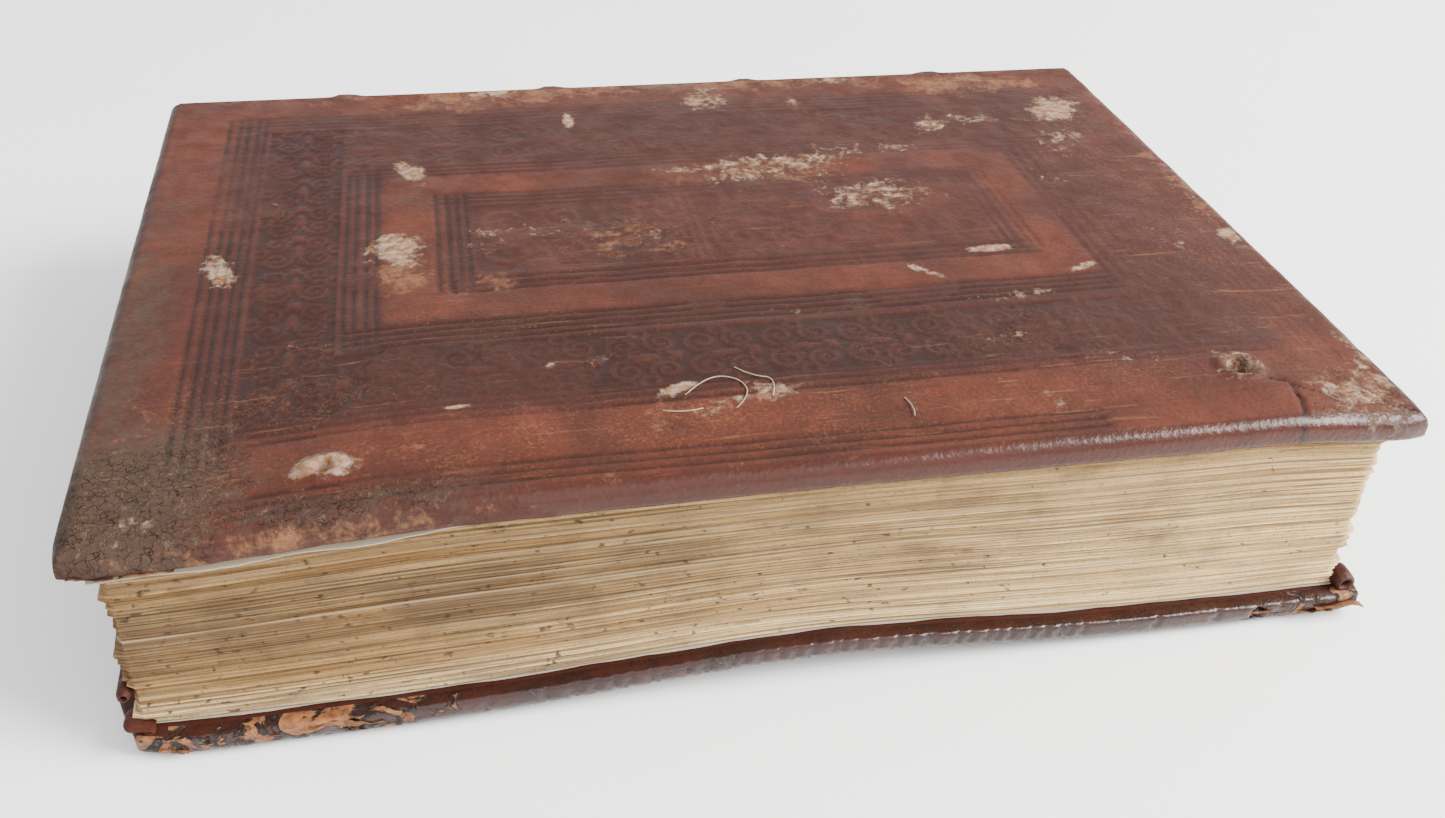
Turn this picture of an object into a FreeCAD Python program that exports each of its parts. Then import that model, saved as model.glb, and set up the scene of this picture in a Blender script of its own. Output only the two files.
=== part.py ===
"""Prayer book in a full leather binding over wooden boards.

The book lies closed on its lower cover. X runs along its height, Y from the fore-edge (-Y) to the spine
(+Y), and Z up through its thickness. The origin is under the middle of the book, on the face it rests on.

The text block is sewn on four raised cords. They are laced into both boards and pegged there, and one
cover leather goes over the boards and the spine. It is cut here where it bends: at both joints, and at
the opening in the middle of the text block.
"""

import FreeCAD
import Part

import math
import os

# ---- driving dimensions, millimetres ----
book_height = 204.0         # along X, over the cover leather
book_thickness = 43.0       # along Z, over both covers, where their warp is highest
cover_width = 144.0         # along Y, from the fore-edge to the joint
spine_rise = 5.5            # how far the spine's arc stands out past the joints
leather = 0.8               # cover leather
turn_in = 0.6               # the same leather pared for the turn-ins
board_thickness = 3.2
edge_radius = 1.8           # the boards' outer edges are rounded; their inner edges only a little
inner_edge_radius = 0.4
paper = 0.15                # pastedowns
flyleaf_thickness = 0.2
square_fore = 3.0           # how far the covers pass the leaves at the fore-edge
square_end = 3.5            # the same at head and tail
turn_in_width = 16.0
pastedown_margin = 4.5      # leather left showing round a pastedown
gathering_count = 24
cord_positions = (-66.0, -22.0, 22.0, 66.0)
cord_width = 4.0
cord_height = 2.2           # how far a cord stands out from the backs of the gatherings
lining = 0.4
kettle_position = 88.0      # the kettle stitches, from the middle towards head and tail
slip_depth = 1.4            # the channel in a board for a cord's end
slip_length = 20.0
peg_radius = 1.9
clasp_nails = ((-67.0, 12.0), (75.5, 16.0))     # lost clasps: place along X, and inset from the fore-edge
clasp_hole_radius = 1.5
pin_positions = (-67.0, 82.0)                   # where their pins stood, in the lower cover's fore-edge
pin_hole_radius = 1.2
pin_hole_depth = 9.0
clearance = 0.03

# ---- worked out from them ----
half_height = book_height / 2
mid_z = book_thickness / 2
cord_leather_rise = cord_height - lining           # a raised band, past the leather beside it
back_y = (cover_width + spine_rise + cord_leather_rise) / 2     # outermost point of the raised bands
joint_y = back_y - spine_rise - cord_leather_rise
fore_y = joint_y - cover_width
spine_radius = (mid_z ** 2 + spine_rise ** 2) / (2 * spine_rise)
spine_centre_y = joint_y + spine_rise - spine_radius
backs_radius = spine_radius - leather - lining     # the arc of the gatherings' folds
board_back_y = joint_y - 1.2
cover_depth = leather + board_thickness + turn_in
text_bottom = cover_depth + paper + flyleaf_thickness + 5 * clearance
gathering_thickness = (book_thickness - 2 * text_bottom) / gathering_count
text_half_height = half_height - square_end
text_fore_y = fore_y + square_fore
leaf_back_y = joint_y - 0.3

V = FreeCAD.Vector


def block(x0, x1, y0, y1, z0, z1):
    """A box between two corners."""
    return Part.makeBox(x1 - x0, y1 - y0, z1 - z0, V(x0, y0, z0))


def spine_cylinder(radius, x0, x1):
    """A full cylinder about the spine arc's axis, between two places along X."""
    return Part.makeCylinder(radius, x1 - x0, V(x0, spine_centre_y, mid_z), V(1, 0, 0))


def spine_sector(inner, outer, x0, x1, z0, z1):
    """The part of the spine's ring behind the joint, between two heights."""
    ring = spine_cylinder(outer, x0, x1).cut(spine_cylinder(inner, x0, x1))
    return ring.common(block(x0, x1, joint_y + clearance, back_y + 10, z0, z1))


def back_of(z):
    """Where the gatherings' backs lie at a height."""
    return spine_centre_y + math.sqrt(backs_radius ** 2 - (z - mid_z) ** 2)


def upside_down(shape):
    """The same piece on the upper cover."""
    return shape.mirror(V(0, 0, mid_z), V(0, 0, 1))


def rounded_board(grow, z0, z1, back):
    """A slab of board size, grown on the three free sides, rounded at its corners and its free edges."""
    x = half_height - leather + grow
    y0 = fore_y + leather - grow
    slab = block(-x, x, y0, back, z0, z1)
    corners = [e for e in slab.Edges if upright(e) and e.BoundBox.YMax < 0]
    slab = slab.makeFillet(2.4 + grow, corners)
    under = [e for e in slab.Edges if flat_at(e, z0) and not along_back(e, back)]
    slab = slab.makeFillet(edge_radius + grow, under)
    over = [e for e in slab.Edges if flat_at(e, z1) and not along_back(e, back)]
    return slab.makeFillet(inner_edge_radius + grow / 2, over)


def upright(edge):
    return edge.BoundBox.ZLength > 1 and edge.BoundBox.XLength < 1e-3


def flat_at(edge, z):
    return abs(edge.BoundBox.ZMin - z) < 1e-4 and abs(edge.BoundBox.ZMax - z) < 1e-4


def along_back(edge, back):
    return edge.BoundBox.YMin > back - 1e-3


def clasp_nail_holes():
    """Nail holes down to the turn-in, given for a lower cover, so that they turn over with the upper one."""
    holes = []
    for x, inset in clasp_nails:
        start = V(x, fore_y + inset, -1)
        holes.append(Part.makeCylinder(clasp_hole_radius, 1 + leather + board_thickness, start))
    return Part.makeCompound(holes)


def clasp_pin_holes():
    """Pin holes along Y in the lower cover's fore-edge."""
    z = leather + 0.6 * board_thickness
    holes = []
    for x in pin_positions:
        start = V(x, fore_y - 1, z)
        holes.append(Part.makeCylinder(pin_hole_radius, 1 + pin_hole_depth, start, V(0, 1, 0)))
    return Part.makeCompound(holes)


def board_blank():
    """The wooden board with the channels and peg holes for the cords."""
    z0 = leather
    wood = rounded_board(0, z0, z0 + board_thickness, board_back_y)
    y0 = board_back_y - slip_length
    half = cord_width / 2
    for x in cord_positions:
        channel = block(x - half, x + half, y0, board_back_y + 1, z0 - 1, z0 + slip_depth)
        hole = Part.makeCylinder(peg_radius, board_thickness, V(x, peg_y(), z0))
        wood = wood.cut(channel).cut(hole)
    return wood


def peg_y():
    return board_back_y - slip_length + peg_radius + 0.1


def cover_leather_blank():
    """The leather over one board: its outer face, three edges and three turn-ins."""
    skin = rounded_board(leather, 0, cover_depth, joint_y)
    skin = skin.cut(rounded_board(0, leather, leather + board_thickness, board_back_y))
    x = half_height - turn_in_width
    inner = leather + board_thickness
    window = block(-x, x, fore_y + turn_in_width, joint_y + 1, inner - 0.001, cover_depth + 1)
    joint_gap = block(-half_height, half_height, board_back_y, joint_y + 1, leather, cover_depth + 1)
    return skin.cut(window).cut(joint_gap)


def pastedown():
    """The paper pasted inside a cover: it lies on the turn-ins, and dips to the wood between them."""
    floor_z = leather + board_thickness
    top = cover_depth
    x_out = half_height - pastedown_margin
    x_in = half_height - turn_in_width - clearance
    y_out = fore_y + pastedown_margin
    y_in = fore_y + turn_in_width + clearance
    back = board_back_y - 0.2
    over = block(-x_out, x_out, y_out, back, top, top + paper)
    dip = block(-x_in, x_in, y_in, back, floor_z, top + paper)
    hollow = block(-x_in + paper, x_in - paper, y_in + paper, back + 1, floor_z + paper, top + 1)
    return over.fuse(dip).cut(hollow).removeSplitter()


def cord_slips():
    """The ends of the four cords, each in its channel and down into its peg hole."""
    slips = []
    for x in cord_positions:
        half = cord_width / 2 - clearance
        y0 = board_back_y - slip_length + clearance
        run = block(x - half, x + half, y0, joint_y - clearance, leather, leather + slip_depth)
        plug = Part.makeCylinder(peg_radius - clearance, board_thickness / 2, V(x, peg_y(), leather))
        slips.append(run.fuse(plug).removeSplitter())
    return Part.makeCompound(slips)


def cord_pegs():
    """The wooden pegs driven in from the inside, which hold the slips."""
    z0 = leather + board_thickness / 2
    depth = board_thickness / 2 - clearance
    pegs = [Part.makeCylinder(peg_radius - clearance, depth, V(x, peg_y(), z0)) for x in cord_positions]
    return Part.makeCompound(pegs)


def flyleaf():
    """The free leaf of the endpapers, beside the pastedown."""
    z0 = cover_depth + paper + 2 * clearance
    x = text_half_height
    return block(-x, x, text_fore_y, leaf_back_y, z0, z0 + flyleaf_thickness)


def gathering_z(number):
    return text_bottom + (number - 1) * gathering_thickness


def stitch(number, width):
    """The thread's run along a gathering's fold, with its ways out at the cords and the kettle stitches."""
    z = gathering_z(number) + gathering_thickness / 2
    half = width / 2
    y = back_of(z) - 1.2
    run = block(-kettle_position - half, kettle_position + half, y - half, y + half, z - half, z + half)
    for x in cord_positions + (-kettle_position, kettle_position):
        run = run.fuse(block(x - half, x + half, y, back_y, z - half, z + half))
    return run.common(spine_cylinder(backs_radius, -half_height, half_height)).removeSplitter()


def gathering(number):
    """One gathering of folded sheets, with the holes that its thread runs through."""
    x = text_half_height
    z0 = gathering_z(number)
    z1 = z0 + gathering_thickness
    leaves = block(-x, x, text_fore_y, spine_centre_y, z0, z1)
    folds = block(-x, x, spine_centre_y, back_y, z0, z1).common(spine_cylinder(backs_radius, -x, x))
    return leaves.fuse(folds).removeSplitter().cut(stitch(number, 0.4))


def kettle_chain(z0, z1):
    """The linked stitches across the backs, near head and tail."""
    half = 0.4
    rows = []
    for x in (-kettle_position, kettle_position):
        rows.append(spine_sector(backs_radius, backs_radius + 0.3, x - half, x + half, z0, z1))
    return rows


def sewing_thread(numbers, z0, z1):
    runs = [stitch(n, 0.36) for n in numbers]
    return Part.makeCompound(runs + kettle_chain(z0, z1))


def sewing_cords(z0, z1):
    """The raised cords across the backs, up to where they enter the boards."""
    half = cord_width / 2 - clearance
    outer = backs_radius + cord_height
    cords = []
    for x in cord_positions:
        cord = spine_sector(backs_radius, outer, x - half, x + half, z0, z1)
        cords.append(cord)
    return Part.makeCompound(cords)


def spine_lining(z0, z1):
    """The linen panels pasted between the cords."""
    half = cord_width / 2
    stops = (-kettle_position + 1,) + cord_positions + (kettle_position - 1,)
    panels = []
    for left, right in zip(stops[:-1], stops[1:]):
        x0 = left + (half if left in cord_positions else 0)
        x1 = right - (half if right in cord_positions else 0)
        panels.append(spine_sector(backs_radius, backs_radius + lining, x0, x1, z0, z1))
    return Part.makeCompound(panels)


def spine_leather(z0, z1):
    """The leather over the spine, raised over each cord and turned in as a cap at head and tail."""
    inner = backs_radius + lining
    x = half_height - 0.5
    skin = spine_sector(inner, spine_radius, -x, x, z0, z1)
    rise = cord_leather_rise
    for cx in cord_positions:
        half = cord_width / 2
        outer = half + leather
        band = spine_sector(inner, spine_radius + rise, cx - outer, cx + outer, z0, z1)
        skin = skin.fuse(band)
        skin = skin.cut(spine_sector(inner - 1, backs_radius + cord_height, cx - half, cx + half, z0, z1))
    for end in (-x, x - leather):
        skin = skin.fuse(spine_sector(backs_radius - 1.0, spine_radius, end, end + leather, z0, z1))
    return skin.removeSplitter()


def endband(end, z0, z1):
    """The worked band at the head or tail, round a cord core, along the back of the leaves."""
    core = 1.0
    x = end * (text_half_height + core + clearance)
    ring = Part.makeTorus(backs_radius - 1.2, core, V(x, spine_centre_y, mid_z), V(1, 0, 0))
    return ring.common(block(x - 2, x + 2, joint_y, back_y, z0, z1))


def save(shape, name):
    shape.exportStep(os.path.join("parts", name + ".step"))


def save_cover(side, place, holes):
    """One cover and its flyleaf: place turns the lower side's shapes into this side's."""
    save(place(board_blank().cut(holes)), side + "_board")
    save(place(cover_leather_blank().cut(holes)), side + "_cover_leather")
    save(place(pastedown()), side + "_pastedown")
    save(place(cord_slips()), side + "_cord_slips")
    save(place(cord_pegs()), side + "_cord_pegs")
    save(place(flyleaf()), side + "_flyleaf")


def save_half(side, numbers, z0, z1):
    """The gatherings of one half, and the stretch of spine that turns with them."""
    text_z0 = gathering_z(numbers[0])
    text_z1 = gathering_z(numbers[-1]) + gathering_thickness
    for number in numbers:
        save(gathering(number), f"gathering_{number:02d}")
    save(sewing_thread(numbers, text_z0, text_z1), side + "_sewing_thread")
    save(sewing_cords(z0, z1), side + "_sewing_cords")
    save(spine_lining(text_z0, text_z1), side + "_spine_lining")
    save(spine_leather(z0, z1), side + "_spine_leather")
    save(endband(1, text_z0, text_z1), side + "_head_endband")
    save(endband(-1, text_z0, text_z1), side + "_tail_endband")


def main():
    os.makedirs("parts", exist_ok=True)
    save_cover("lower", lambda shape: shape, clasp_pin_holes())
    save_cover("upper", upside_down, clasp_nail_holes())
    half_count = gathering_count // 2
    joint_z = 0.9
    save_half("lower", range(1, half_count + 1), joint_z, mid_z - clearance)
    upper_numbers = range(half_count + 1, gathering_count + 1)
    save_half("upper", upper_numbers, mid_z + clearance, book_thickness - joint_z)


main()
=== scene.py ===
import math
import bpy
import bmesh
import numpy as np
from mathutils import Matrix, Vector


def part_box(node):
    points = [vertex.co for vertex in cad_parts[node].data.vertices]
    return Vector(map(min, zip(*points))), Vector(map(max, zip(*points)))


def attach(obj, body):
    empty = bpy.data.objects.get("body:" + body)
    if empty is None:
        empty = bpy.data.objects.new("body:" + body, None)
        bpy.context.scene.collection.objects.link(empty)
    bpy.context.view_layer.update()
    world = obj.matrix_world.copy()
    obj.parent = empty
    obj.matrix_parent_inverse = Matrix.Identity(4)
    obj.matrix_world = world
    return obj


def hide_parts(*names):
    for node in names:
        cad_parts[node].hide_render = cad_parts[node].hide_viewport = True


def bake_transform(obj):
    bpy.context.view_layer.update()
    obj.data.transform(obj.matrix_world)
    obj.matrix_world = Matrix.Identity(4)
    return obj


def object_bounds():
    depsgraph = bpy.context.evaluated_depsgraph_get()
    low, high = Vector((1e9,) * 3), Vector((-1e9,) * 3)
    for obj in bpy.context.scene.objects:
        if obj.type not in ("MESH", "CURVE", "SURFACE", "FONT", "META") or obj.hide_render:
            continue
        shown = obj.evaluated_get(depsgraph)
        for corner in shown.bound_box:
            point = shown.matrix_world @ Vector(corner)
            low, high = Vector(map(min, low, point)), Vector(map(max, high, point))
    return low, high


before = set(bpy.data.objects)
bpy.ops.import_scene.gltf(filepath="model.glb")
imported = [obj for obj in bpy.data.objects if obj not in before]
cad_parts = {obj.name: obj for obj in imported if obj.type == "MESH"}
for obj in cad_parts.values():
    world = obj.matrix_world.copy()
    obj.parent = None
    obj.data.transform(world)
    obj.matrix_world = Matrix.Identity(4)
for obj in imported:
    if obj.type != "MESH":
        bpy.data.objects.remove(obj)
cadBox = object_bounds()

mm = 0.001
low, high = (np.array(corner) / mm for corner in cadBox)      # the closed book's box, in millimetres
topZ = high[2]
midZ = topZ / 2
foreY = low[1]
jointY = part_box("upper_cover_leather")[1][1] / mm             # where the covers' leather meets the spine's
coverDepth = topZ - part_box("upper_cover_leather")[0][2] / mm
halfHeight = high[0]
coverWidth = jointY - foreY
print("frame loaded", np.round(low, 1), np.round(high, 1))


# helpers

def selectOnly(obj):
    bpy.ops.object.select_all(action="DESELECT")
    obj.select_set(True)
    bpy.context.view_layer.objects.active = obj


def editMesh(obj, mode="FACE"):
    selectOnly(obj)
    bpy.ops.object.mode_set(mode="EDIT")
    bpy.ops.mesh.select_mode(type=mode)
    bpy.ops.mesh.select_all(action="DESELECT")
    return bmesh.from_edit_mesh(obj.data)


def leaveEdit():
    bpy.ops.object.mode_set(mode="OBJECT")


def cutAt(obj, axis, cuts):
    # cuts the whole mesh with planes across an axis, at places in millimetres
    normal = [float(number == axis) for number in range(3)]
    editMesh(obj)
    for cut in cuts:
        bpy.ops.mesh.select_all(action="SELECT")
        bpy.ops.mesh.bisect(plane_co=[part * cut * mm for part in normal], plane_no=normal)
    leaveEdit()


def pick(obj, mesh, items, test):
    # selects the faces or edges that pass a test, in edit mode
    for item in items:
        item.select_set(bool(test(item)))
    mesh.select_flush_mode()
    bmesh.update_edit_mesh(obj.data)


def places(obj):
    # the vertices of a mesh in millimetres
    co = np.empty(len(obj.data.vertices) * 3)
    obj.data.vertices.foreach_get("co", co)
    return co.reshape(-1, 3) / mm


def setPlaces(obj, co):
    obj.data.vertices.foreach_set("co", (co * mm).ravel())
    obj.data.update()


def addObject(name, data):
    obj = bpy.data.objects.new(name, data)
    bpy.context.scene.collection.objects.link(obj)
    return obj


def addMesh(name, operator, scale=(1, 1, 1), **settings):
    # one of Blender's own meshes, alone selected, with its place and scale applied
    bpy.ops.object.select_all(action="DESELECT")
    operator(**settings)
    obj = bpy.context.active_object
    obj.name = obj.data.name = name
    obj.scale = scale
    bpy.ops.object.transform_apply(location=True, rotation=True, scale=True)
    return obj


def addCube(name, lowCorner, highCorner):
    a, b = np.array(lowCorner, float), np.array(highCorner, float)
    return addMesh(name, bpy.ops.mesh.primitive_cube_add, (b - a) * mm, size=1, location=(a + b) / 2 * mm)


def cutAcross(obj, axis, cuts):
    # divides every edge that runs along an axis, so that the faces are cut across it
    if cuts < 1:
        return
    mesh = editMesh(obj, "EDGE")
    pick(obj, mesh, mesh.edges, lambda e: alongAxis(e, axis))
    bpy.ops.mesh.subdivide(number_cuts=cuts)
    leaveEdit()


def alongAxis(edge, axis):
    run = edge.verts[1].co - edge.verts[0].co
    return abs(run[axis]) > 0.98 * run.length


def latticeNoise(points, size, seed):
    # smooth noise from -1 to 1 at points given in millimetres, with features of a given size
    points = np.atleast_2d(points) / np.array(size, float)
    dims = points.shape[1]
    cell = np.floor(points).astype(int)
    part = points - cell
    part = part * part * (3 - 2 * part)
    table = np.random.default_rng(seed).uniform(-1, 1, 4096)
    primes = np.array([73856093, 19349663, 83492791])[:dims]
    total = np.zeros(len(points))
    for corner in range(2 ** dims):
        bits = np.array([(corner >> d) & 1 for d in range(dims)])
        key = ((cell + bits) * primes).sum(1) % 4096
        weight = np.prod(np.where(bits, part, 1 - part), axis=1)
        total += table[key] * weight
    return total


def rough(points, size, seed, layers=3):
    # several layers of that noise, each half as large and half as strong as the one before
    size = np.array(size, float)
    total = np.zeros(len(points))
    for layer in range(layers):
        total += latticeNoise(points, size / 2 ** layer, seed + layer) / 2 ** layer
    return total


def unit(value):
    return np.clip(value, 0, 1)


def ease(value, start, end):
    # a soft step from 0 at the start to 1 at the end
    t = unit((value - start) / (end - start))
    return t * t * (3 - 2 * t)


def store(obj, **layers):
    # number layers for the materials: an array or one number each
    for name, values in layers.items():
        attribute = obj.data.attributes.new(name, "FLOAT", "POINT")
        attribute.data.foreach_set("value", (values + np.zeros(len(obj.data.vertices))).astype(np.float32))


def setMaterials(obj, *materials):
    obj.data.materials.clear()
    for material in materials:
        obj.data.materials.append(material)


def smooth(obj, angle=40):
    selectOnly(obj)
    bpy.ops.object.shade_smooth_by_angle(angle=math.radians(angle))


def outward(obj):
    # turns all faces so that they look out of the mesh
    editMesh(obj)
    bpy.ops.mesh.select_all(action="SELECT")
    bpy.ops.mesh.normals_make_consistent(inside=False)
    leaveEdit()


# the old book's warp: its boards rise in the middle of the fore-edge

warp = {                    # the lower cover's rise, and how far the upper one is off at its ends and middle
    "bottomRise": 3.9, "bottomCentre": 3, "bottomReach": 38, "topLeft": -2.7, "topMiddle": 0.62, "topRight": -1.3,
    "leftEase": (-100, -46), "rightEase": (74, 104), "power": 1.5, "wornAlong": 3.4, "wornIn": 0.8}


def bend(co):
    # moves points of the flat book to where the warped one has them
    x = co[:, 0]
    out = unit((jointY - co[:, 1]) / coverWidth) ** warp["power"]
    level = unit(co[:, 2] / topZ)
    bottom = warp["bottomRise"] * np.exp(-((x - warp["bottomCentre"]) / warp["bottomReach"]) ** 2)
    top = warp["topLeft"] + (warp["topMiddle"] - warp["topLeft"]) * ease(x, *warp["leftEase"])
    top = top + (warp["topRight"] - warp["topMiddle"]) * ease(x, *warp["rightEase"])
    wornCorner = ease(-x, 88, 102) * ease(foreY - co[:, 1], -14, 0) * ease(-co[:, 2], -7, -5)
    co = co.copy()
    co[:, 2] += (bottom * (1 - level) + top * level) * out
    co[:, 0] += warp["wornAlong"] * wornCorner
    co[:, 1] += warp["wornIn"] * wornCorner
    return co


# materials

class Shader:
    # a material's node tree with short ways to add its nodes

    def __init__(self, name, rough=0.6, place=None):
        self.material = bpy.data.materials.new(name)
        self.material.use_nodes = True
        self.tree = self.material.node_tree
        self.surface = self.tree.nodes["Principled BSDF"]
        self.color = self.normal = None
        self.surface.inputs["Roughness"].default_value = rough
        self.coords = self.tree.nodes.new("ShaderNodeTexCoord").outputs["Object"]
        if place:
            self.coords = self.add("ShaderNodeAttribute", attribute_name=place).outputs["Vector"]

    def add(self, kind, values=None, **settings):
        node = self.tree.nodes.new(kind)
        for key, value in settings.items():
            setattr(node, key, value)
        for key, value in (values or {}).items():
            if isinstance(value, bpy.types.NodeSocket):
                self.tree.links.new(value, node.inputs[key])
            else:
                node.inputs[key].default_value = value
        return node

    def noise(self, size, detail=4, stretch=(1, 1, 1), distort=0.0, rough=0.55):
        # noise with features of a size in millimetres, from 0 to 1
        place = self.add("ShaderNodeMapping", {"Vector": self.coords, "Scale": stretch}).outputs[0]
        values = {"Vector": place, "Scale": 1 / (size * mm), "Detail": detail,
                  "Distortion": distort, "Roughness": rough}
        return self.add("ShaderNodeTexNoise", values).outputs["Fac"]

    def cells(self, size, feature="F1", wobble=0.0):
        # distances in a net of cells of a size, its lines wobbling by so many millimetres
        place, scale = self.coords, 1 / (size * mm)
        if wobble:
            drift = self.add("ShaderNodeTexNoise", {"Vector": place, "Scale": scale, "Detail": 3}).outputs["Color"]
            drift = self.add("ShaderNodeVectorMath", {0: drift, "Scale": wobble * mm}, operation="SCALE").outputs[0]
            place = self.add("ShaderNodeVectorMath", {0: place, 1: drift}, operation="ADD").outputs[0]
        values = {"Vector": place, "Scale": scale}
        return self.add("ShaderNodeTexVoronoi", values, feature=feature).outputs["Distance"]

    def span(self, value, fromLow, fromHigh, toLow=0.0, toHigh=1.0):
        values = {"Value": value, "From Min": fromLow, "From Max": fromHigh, "To Min": toLow, "To Max": toHigh}
        return self.add("ShaderNodeMapRange", values, interpolation_type="SMOOTHSTEP").outputs[0]

    def maths(self, operation, a, b=0.0):
        return self.add("ShaderNodeMath", {0: a, 1: b}, operation=operation).outputs[0]

    def times(self, a, b):
        return self.maths("MULTIPLY", a, b)

    def plus(self, a, b):
        return self.maths("ADD", a, b)

    def swing(self, noise, reach):
        # noise from 0 to 1 turned into a swing about zero
        return self.times(self.maths("SUBTRACT", noise, 0.5), reach)

    def mix(self, factor, a, b):
        node = self.add("ShaderNodeMix", data_type="RGBA", blend_type="MIX")
        for socket, value in ((node.inputs[0], factor), (node.inputs[6], a), (node.inputs[7], b)):
            if isinstance(value, bpy.types.NodeSocket):
                self.tree.links.new(value, socket)
            else:
                socket.default_value = value if isinstance(value, float) else (*value, 1)
        return node.outputs[2]

    def attribute(self, name):
        return self.add("ShaderNodeAttribute", attribute_name=name).outputs["Fac"]

    def paint(self, mask, tint):
        # lays a colour over what is there, where the mask is
        self.color = self.mix(mask, self.color, tint)

    def bump(self, height, distance, strength=1.0):
        # one more layer of relief, its distance in millimetres
        values = {"Height": height, "Distance": distance * mm, "Strength": strength}
        if self.normal is not None:
            values["Normal"] = self.normal
        self.normal = self.add("ShaderNodeBump", values).outputs[0]

    def done(self, roughness=None):
        for key, value in (("Base Color", self.color), ("Roughness", roughness), ("Normal", self.normal)):
            if value is not None:
                self.tree.links.new(value, self.surface.inputs[key])
        return self.material


leatherColors = {
    "red": (0.084, 0.0190, 0.0085), "brown": (0.044, 0.0118, 0.0065), "plum": (0.036, 0.0100, 0.0066),
    "tan": (0.185, 0.080, 0.034), "pale": (0.29, 0.215, 0.155), "grey": (0.046, 0.029, 0.019),
    "black": (0.010, 0.005, 0.0035), "tooled": (0.010, 0.0042, 0.0032), "smeared": (0.015, 0.0065, 0.0060),
    "flesh": (0.25, 0.098, 0.034), "darkFlesh": (0.12, 0.042, 0.016)}


def coverLeather(name, shine, roughLow, roughHigh, frayed=False):
    # calf over boards: reddish where plain, plum where tooled, worn through to tan and pale suede
    s = Shader(name)
    c = leatherColors
    cloud = s.noise(22, 3, distort=0.4)
    mottle = s.noise(4.5, 5)
    fine = s.noise(0.7, 4)
    grit = s.maths("SUBTRACT", s.noise(1.1, 5, rough=0.7), 0.5)

    def worn(name, size, reach, low, high):
        torn = s.swing(s.noise(size, 8, rough=0.66, distort=0.5), reach)
        return s.span(s.plus(s.attribute(name), s.plus(torn, s.times(grit, 0.55))), low, high)

    s.color = s.mix(s.span(cloud, 0.3, 0.7), c["red"], c["brown"])
    s.paint(s.times(s.span(mottle, 0.42, 0.75), 0.55), c["brown"])
    tone = s.plus(s.attribute("tone"), s.swing(mottle, 0.6))
    s.paint(s.span(tone, 0.1, 1.0, 0, 0.92), c["plum"])
    s.paint(s.times(s.attribute("tooling"), 0.72), c["tooled"])
    s.paint(s.times(worn("grime", 2.5, 0.9, 0.35, 0.8), 0.85), c["grey"])
    s.paint(s.times(worn("tan", 5, 1.2, 0.44, 0.8), 0.85), c["tan"])
    paleMask = worn("pale", 3.4, 1.3, 0.50, 0.74)
    suede = s.mix(s.span(s.noise(1.6, 5), 0.35, 0.65), c["pale"], c["tan"])
    s.paint(s.times(paleMask, 0.9), suede)
    # rubbed specks, scratches along the book, a grey bloom and dark streaks
    rubbed = s.plus(s.attribute("rub"), s.swing(s.noise(7, 6, rough=0.65), 2.2))
    speck = s.span(s.plus(s.noise(0.55, 6, rough=0.75), s.times(rubbed, 0.14)), 0.62, 0.85)
    s.paint(s.times(speck, 0.5), c["tan"])
    scratch = s.span(s.noise(1.5, 5, (0.10, 1.5, 1), 0.4), 0.60, 0.72)
    scratch = s.times(scratch, s.span(s.attribute("rub"), 0.1, 0.8))
    s.paint(s.times(scratch, 0.42), c["tan"])
    s.paint(s.span(s.noise(30, 7, (1, 1.6, 1), 0.8, 0.62), 0.52, 0.78, 0, 0.32), c["grey"])
    s.paint(s.span(s.noise(1.7, 5, (0.09, 1.4, 1), 0.3), 0.56, 0.72, 0, 0.55), c["plum"])
    if frayed:          # the grain layer torn off to the flesh, with a painted black shadow round each tear
        s.paint(s.span(s.noise(6, 5), 0.35, 0.65, 0.25, 0.8), c["smeared"])
        layer = s.plus(s.attribute("torn"), s.swing(s.noise(7, 9, (1, 1, 1.6), 1.2, 0.66), 3.0))
        # painted shadow: a black line along the edge of each tear
        s.paint(s.span(layer, 0.52, 0.66, 0, 0.9), c["black"])
        flesh = s.mix(s.span(s.noise(1.6, 7, (1, 1, 2.5)), 0.35, 0.65), c["flesh"], c["darkFlesh"])
        s.paint(s.span(layer, 0.68, 0.76), flesh)
    # crackle: a net of fine cracks, with the leather curled up pale beside them
    broken = s.span(s.plus(s.attribute("crack"), s.swing(s.noise(6, 4), 1.3)), 0.42, 0.85)
    apart = s.cells(1.25, "DISTANCE_TO_EDGE", 1.5)
    curled = s.times(s.span(apart, 0.04, 0.11, 1.0, 0.0), s.span(s.noise(2.2, 5), 0.46, 0.62))
    curled = s.times(broken, curled)
    s.paint(s.times(curled, 0.5), s.mix(s.noise(2, 3), c["tan"], c["pale"]))
    crackMask = s.times(broken, s.span(apart, 0.0, 0.06, 1.0, 0.0))
    crackMask = s.times(crackMask, s.span(s.noise(2.8, 4), 0.3, 0.6, 0.2, 0.9))
    s.paint(crackMask, c["black"])
    s.paint(s.span(fine, 0.35, 0.75, 0, 0.3), c["black"])
    roughness = s.plus(s.span(mottle, 0.3, 0.8, roughLow, roughHigh), s.times(s.plus(paleMask, broken), 0.3))
    s.bump(s.noise(0.35, 3), 0.05)
    s.bump(s.cells(0.9), 0.08, 0.6)
    s.bump(mottle, 0.5, 0.6 if shine < 0.2 else 0.2)
    relief = s.maths("SUBTRACT", s.times(curled, 0.6), s.plus(crackMask, s.times(paleMask, 0.5)))
    s.bump(relief, 0.4, 0.9)
    if frayed:
        s.bump(s.span(layer, 0.5, 0.78), 0.7, 1.0)
        roughness = s.plus(roughness, s.span(layer, 0.5, 0.7, 0, 0.3))
    s.surface.inputs["Specular IOR Level"].default_value = shine
    return s.done(roughness)


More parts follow.
